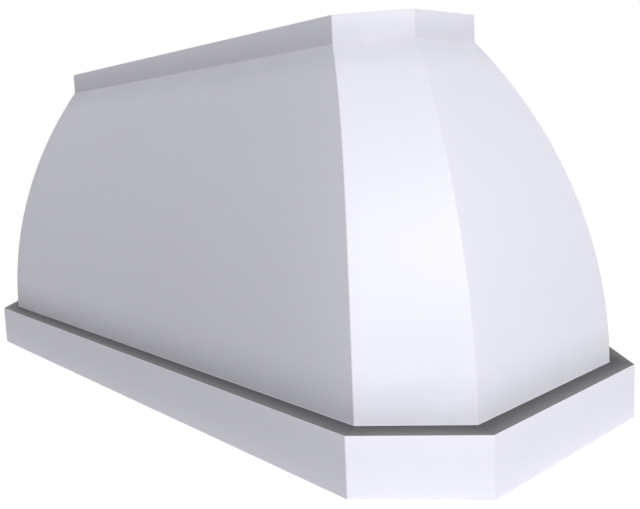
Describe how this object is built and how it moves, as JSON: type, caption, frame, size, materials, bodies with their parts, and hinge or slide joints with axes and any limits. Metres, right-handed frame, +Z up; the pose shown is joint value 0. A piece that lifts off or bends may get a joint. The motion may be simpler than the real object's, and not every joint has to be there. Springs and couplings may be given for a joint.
{
  "type": "range hood cover",
  "caption": "Painted wooden cover for an island range hood: long octagonal apron and ledge, curved panels that lean in on mitred hips to a ceiling collar, ribs and decks inside.",
  "frame": {"origin": "middle of the plan, at the foot of the apron", "axes": "+Z up to the ceiling, +X along the long front, +Y to the back"},
  "size_m": [1.3716, 0.632, 0.6285],
  "materials": {
    "painted_wood": "smooth satin paint over wood, near-white",
    "plywood": "bare sanded birch plywood, painted where it shows on the ledge",
    "bare_wood": "bare sawn pine",
    "screw_steel": "zinc-plated"
  },
  "bodies": {
    "root": {"apron_front": "painted_wood", "apron_front_right": "painted_wood", "apron_right": "painted_wood", "apron_back_right": "painted_wood", "apron_back": "painted_wood", "apron_back_left": "painted_wood", "apron_left": "painted_wood", "apron_front_left": "painted_wood", "apron_block_front_left_to_front": "bare_wood", "apron_block_front_to_front_right": "bare_wood", "apron_block_front_right_to_right": "bare_wood", "apron_block_right_to_back_right": "bare_wood", "apron_block_back_right_to_back": "bare_wood", "apron_block_back_to_back_left": "bare_wood", "apron_block_back_left_to_left": "bare_wood", "apron_block_left_to_front_left": "bare_wood", "panel_front": "painted_wood", "panel_front_right": "painted_wood", "panel_right": "painted_wood", "panel_back_right": "painted_wood", "panel_back": "painted_wood", "panel_back_left": "painted_wood", "panel_left": "painted_wood", "panel_front_left": "painted_wood", "collar_front": "painted_wood", "collar_front_right": "painted_wood", "collar_right": "painted_wood", "collar_back_right": "painted_wood", "collar_back": "painted_wood", "collar_back_left": "painted_wood", "collar_left": "painted_wood", "collar_front_left": "painted_wood", "rib_front_left": "plywood", "rib_front_right": "plywood", "rib_right": "plywood", "rib_back_left": "plywood", "rib_back_right": "plywood", "rib_left": "plywood", "hip_rib_front_to_front_right": "plywood", "hip_rib_front_right_to_right": "plywood", "hip_rib_right_to_back_right": "plywood", "hip_rib_back_right_to_back": "plywood", "hip_rib_back_to_back_left": "plywood", "hip_rib_back_left_to_left": "plywood", "hip_rib_left_to_front_left": "plywood", "hip_rib_front_left_to_front": "plywood", "base_deck": "plywood", "top_deck": "plywood", "hip_rib_screws": "screw_steel", "liner_rail_front": "bare_wood", "liner_rail_back": "bare_wood", "liner_rail_left": "bare_wood", "liner_rail_right": "bare_wood"}
  },
  "joints": []
}
